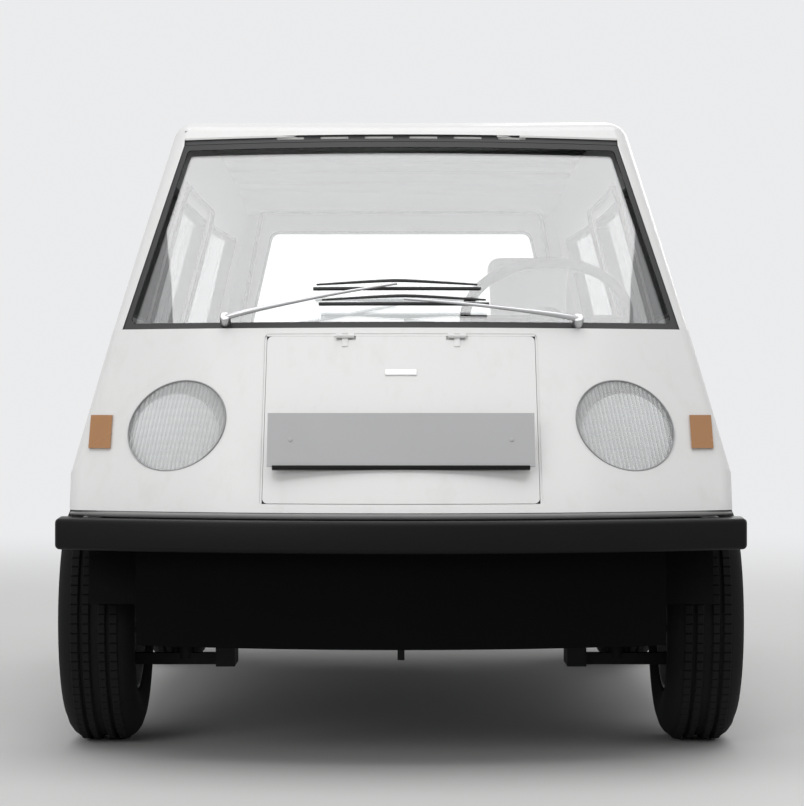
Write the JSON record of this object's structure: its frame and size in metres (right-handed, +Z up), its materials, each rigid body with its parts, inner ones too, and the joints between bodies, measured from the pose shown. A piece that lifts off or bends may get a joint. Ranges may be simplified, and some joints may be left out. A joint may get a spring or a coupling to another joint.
{
  "type": "microvan",
  "caption": "Small one-box van with a raked bowed nose and windscreen, strongly tapered sides, hinged doors, tailgate and front lid, and steered front wheels.",
  "frame": {"origin": "on the ground, at the middle of the overall length and width", "axes": "+X to the van's left, +Y from the nose to the tail, +Z up"},
  "size_m": [1.404, 2.7599, 1.38],
  "materials": {
    "body_white": "satin paint, slightly dusty",
    "black_trim": "moulded black plastic",
    "black_steel": "black chassis paint",
    "floor_grey": "grey floor paint",
    "rubber": "black rubber",
    "tyre": "black tyre rubber",
    "rim_steel": "silver grey wheel paint",
    "glass": "clear safety glass",
    "lamp_glass": "fluted lamp glass",
    "marker_orange": "amber lens",
    "tail_red": "red lens",
    "plate_grey": "blank grey plate",
    "dash_black": "grained plastic",
    "seat_cloth": "dark seat cover",
    "steel": "bare and oiled steel",
    "cast_iron": "dark casting",
    "wiper_metal": "bright wiper arms",
    "battery_case": "closed battery tray"
  },
  "bodies": {
    "body": {"nose_panel": "body_white", "body_side_left": "body_white", "body_side_right": "body_white", "roof_panel": "body_white", "tail_panel": "body_white", "windscreen": "glass", "windscreen_seal": "rubber", "side_glass": "glass", "headlamps": "lamp_glass", "marker_lamps": "marker_orange", "tail_lamps": "tail_red", "front_bumper": "black_trim", "rear_bumper": "black_trim", "front_valance": "black_trim", "sills": "black_trim", "wipers": "wiper_metal", "floor_pan": "floor_grey", "front_bulkhead": "floor_grey", "chassis_frame": "black_steel", "battery_pack": "battery_case", "drive_motor": "cast_iron", "dashboard": "dash_black", "steering_column": "black_steel", "driver_seat": "seat_cloth", "front_suspension": "black_steel", "rear_axle": "black_steel"},
    "door_left": {"door_left": "body_white", "door_glass_left": "glass"},
    "door_right": {"door_right": "body_white", "door_glass_right": "glass"},
    "tailgate": {"tailgate": "body_white", "tailgate_glass": "glass"},
    "front_lid": {"front_lid": "body_white", "number_plate": "plate_grey"},
    "steering_wheel": {"steering_wheel": "dash_black"},
    "knuckle_left": {"knuckle_left": "cast_iron"},
    "knuckle_right": {"knuckle_right": "cast_iron"},
    "wheel_fl": {"rim_fl": "rim_steel", "tyre_fl": "tyre"},
    "wheel_fr": {"rim_fr": "rim_steel", "tyre_fr": "tyre"},
    "wheel_rl": {"rim_rl": "rim_steel", "tyre_rl": "tyre"},
    "wheel_rr": {"rim_rr": "rim_steel", "tyre_rr": "tyre"}
  },
  "joints": [
    {"name": "steering_wheel_turn", "type": "hinge", "parent": "body", "child": "steering_wheel", "pos_m": [0.33, -0.42, 0.905], "axis": [0, 0.6428, 0.766], "range_deg": [-420, 420]},
    {"name": "steer_left", "type": "hinge", "parent": "body", "child": "knuckle_left", "pos_m": [0.585, -0.78, 0.265], "axis": [0, 0, 1], "range_deg": [-28, 28]},
    {"name": "spin_fl", "type": "hinge", "parent": "knuckle_left", "child": "wheel_fl", "pos_m": [0.6225, -0.78, 0.265], "axis": [1, 0, 0], "continuous": true},
    {"name": "steer_right", "type": "hinge", "parent": "body", "child": "knuckle_right", "pos_m": [-0.585, -0.78, 0.265], "axis": [0, 0, 1], "range_deg": [-28, 28]},
    {"name": "spin_fr", "type": "hinge", "parent": "knuckle_right", "child": "wheel_fr", "pos_m": [-0.6225, -0.78, 0.265], "axis": [1, 0, 0], "continuous": true},
    {"name": "spin_rl", "type": "hinge", "parent": "body", "child": "wheel_rl", "pos_m": [0.6225, 0.92, 0.265], "axis": [1, 0, 0], "continuous": true},
    {"name": "spin_rr", "type": "hinge", "parent": "body", "child": "wheel_rr", "pos_m": [-0.6225, 0.92, 0.265], "axis": [1, 0, 0], "continuous": true},
    {"name": "door_hinge_left", "type": "hinge", "parent": "body", "child": "door_left", "pos_m": [0.69555, -0.44, 0.57], "axis": [0.2588, 0, -0.9659], "range_deg": [0, 68]},
    {"name": "door_hinge_right", "type": "hinge", "parent": "body", "child": "door_right", "pos_m": [-0.69555, -0.44, 0.57], "axis": [0.2588, 0, 0.9659], "range_deg": [0, 68]},
    {"name": "tailgate_hinge", "type": "hinge", "parent": "body", "child": "tailgate", "pos_m": [0, 1.14391, 1.2645], "axis": [1, 0, 0], "range_deg": [0, 85]},
    {"name": "front_lid_hinge", "type": "hinge", "parent": "body", "child": "front_lid", "pos_m": [0, -1.1024, 0.8455], "axis": [-1, 0, 0], "range_deg": [0, 65]}
  ],
  "couplings": [
    {"joint": "steer_left", "follows": "steering_wheel_turn", "ratio": 0.066667},
    {"joint": "steer_right", "follows": "steering_wheel_turn", "ratio": 0.066667}
  ]
}
